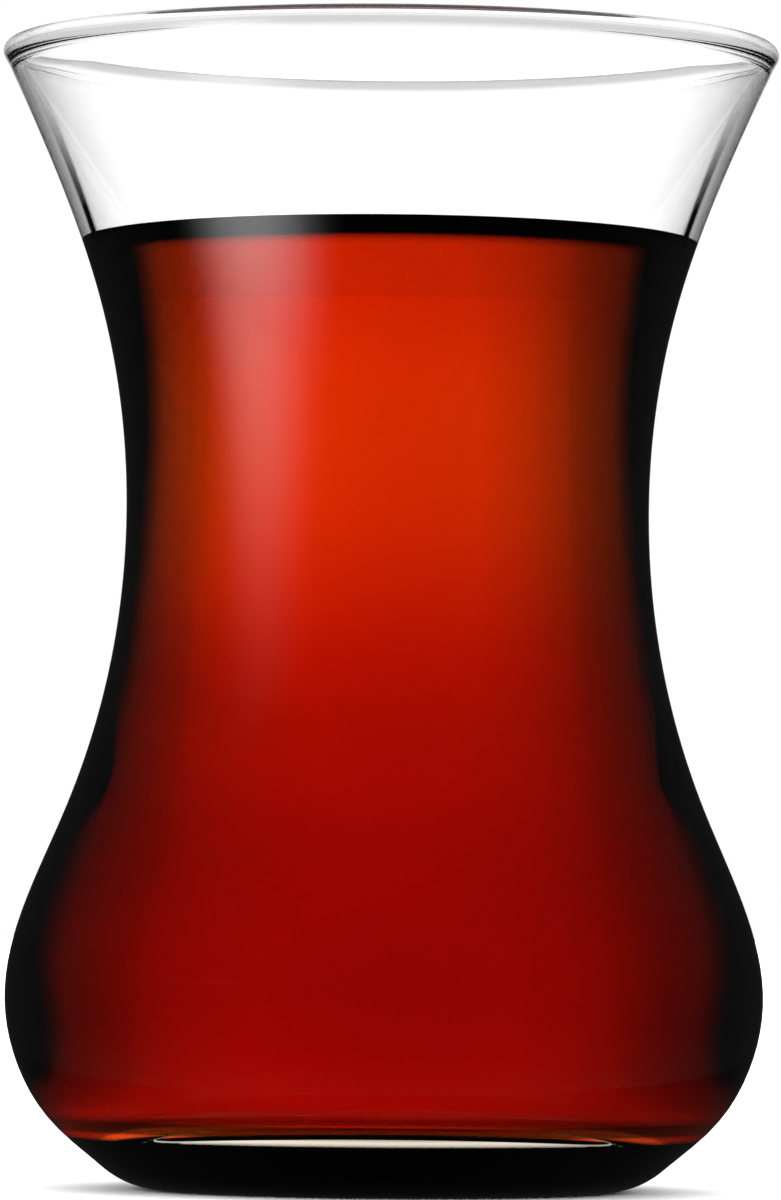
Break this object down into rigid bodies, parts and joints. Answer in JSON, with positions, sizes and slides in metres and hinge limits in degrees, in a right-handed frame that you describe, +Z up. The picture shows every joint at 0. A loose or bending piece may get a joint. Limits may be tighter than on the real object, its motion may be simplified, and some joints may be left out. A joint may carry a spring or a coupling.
{
  "type": "turkish tea glass",
  "caption": "Tulip-shaped tea glass with a flared rounded lip, a narrow waist, a wide belly and a heavy foot, filled with black tea to below the lip.",
  "frame": {"origin": "middle of the foot, on the surface that the glass stands on", "axes": "+Z up along the axis that the glass is turned about"},
  "size_m": [0.0594, 0.0594, 0.0875],
  "materials": {
    "clear_glass": "polished",
    "black_tea": "clear liquid, a still surface"
  },
  "bodies": {
    "root": {"glass": "clear_glass", "tea": "black_tea"}
  },
  "joints": []
}
